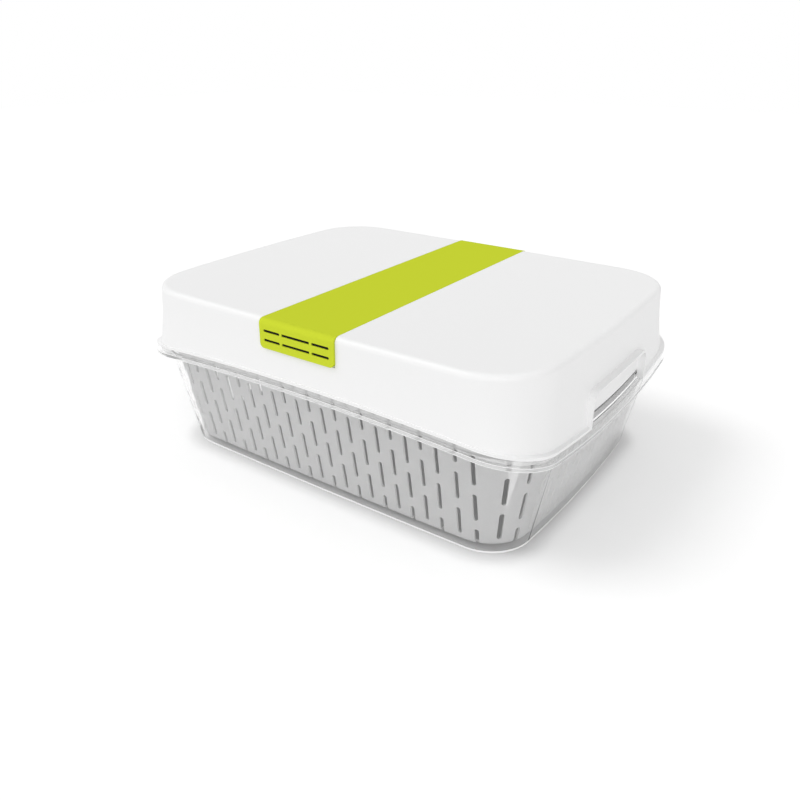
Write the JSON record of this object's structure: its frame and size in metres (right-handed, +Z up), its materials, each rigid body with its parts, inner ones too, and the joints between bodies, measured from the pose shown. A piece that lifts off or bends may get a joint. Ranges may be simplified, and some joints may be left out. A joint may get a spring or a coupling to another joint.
{
  "type": "food storage container",
  "caption": "Clear tray with a slotted strainer basket, a hooded white lid with finger recesses at both ends and a coloured vent band across it.",
  "frame": {"origin": "centre of the foot, on the plane the tray stands on", "axes": "+X along the length, +Y along the width away from the front, +Z up"},
  "size_m": [0.314, 0.239, 0.12],
  "materials": {
    "clear_tray": "clear, polished injection moulding",
    "frosted_basket": "frosted translucent injection moulding",
    "white_lid": "satin",
    "lime_band": "satin"
  },
  "bodies": {
    "tray": {"tray": "clear_tray"},
    "basket": {"basket": "frosted_basket"},
    "lid": {"lid": "white_lid"},
    "vent_band": {"vent_band": "lime_band"}
  },
  "joints": [
    {"name": "basket_lift", "type": "slide", "parent": "tray", "child": "basket", "axis": [0, 0, 1], "range_m": [0, 0.1]},
    {"name": "lid_lift", "type": "slide", "parent": "basket", "child": "lid", "axis": [0, 0, 1], "range_m": [0, 0.08]},
    {"name": "vent_band_lift", "type": "slide", "parent": "lid", "child": "vent_band", "axis": [0, 0, 1], "range_m": [0, 0.03]}
  ]
}
